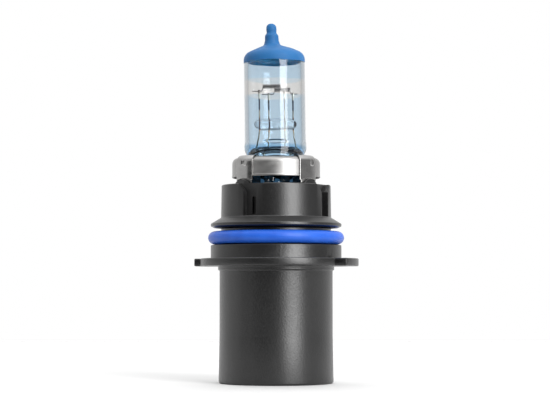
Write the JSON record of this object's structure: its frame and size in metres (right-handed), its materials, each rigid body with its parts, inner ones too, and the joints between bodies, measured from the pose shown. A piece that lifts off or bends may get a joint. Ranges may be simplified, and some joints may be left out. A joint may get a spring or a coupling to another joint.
{
  "type": "headlight bulb",
  "caption": "Twin-filament halogen headlight bulb: blue-tipped tubular glass capsule in a metal holder on a keyed plastic base with an O-ring seal and a round shrouded blade connector.",
  "frame": {"origin": "on the bulb's axis, in the plane of the flange's seating face", "axes": "+Z along the bulb's axis to the glass tip, -Y to the side with the widest flange sector, +X to the right seen from there"},
  "size_m": [0.0428, 0.0411, 0.0938],
  "materials": {
    "tinted_glass": "polished tube glass with a pale blue tint and an untinted band round the filaments",
    "clear_glass": "fire-polished clear glass bar",
    "blue_coating": "opaque blue dip coating, satin",
    "tungsten": "dark drawn tungsten wire",
    "molybdenum": "drawn wire, dulled, with heat tints",
    "foil": "thin etched metal strip",
    "stainless": "bright pressed sheet with fine drawing lines",
    "stainless_bright": "bright pressed sheet, cut edges, small weld marks",
    "black_nylon": "fine-grained black glass-filled nylon, satin",
    "blue_silicone": "bright blue silicone, satin",
    "tinned_brass": "stamped blade, thinly tinned",
    "sealant": "cast dark grey sealant"
  },
  "bodies": {
    "root": {"glass_envelope": "tinted_glass", "tip_coating": "blue_coating", "high_beam_filament": "tungsten", "low_beam_filament": "tungsten", "high_beam_live_lead": "molybdenum", "high_beam_common_lead": "molybdenum", "low_beam_common_lead": "molybdenum", "low_beam_live_lead": "molybdenum", "glass_bridge": "clear_glass", "high_live_foil": "foil", "high_common_foil": "foil", "low_common_foil": "foil", "low_live_foil": "foil", "high_live_outer_lead": "molybdenum", "high_common_outer_lead": "molybdenum", "low_common_outer_lead": "molybdenum", "low_live_outer_lead": "molybdenum", "bulb_cup": "stainless", "retainer_clip": "stainless_bright", "pinch_clamp": "stainless", "base_body": "black_nylon", "o_ring": "blue_silicone", "high_beam_terminal": "tinned_brass", "common_terminal": "tinned_brass", "low_beam_terminal": "tinned_brass", "terminal_seal": "sealant"}
  },
  "joints": []
}
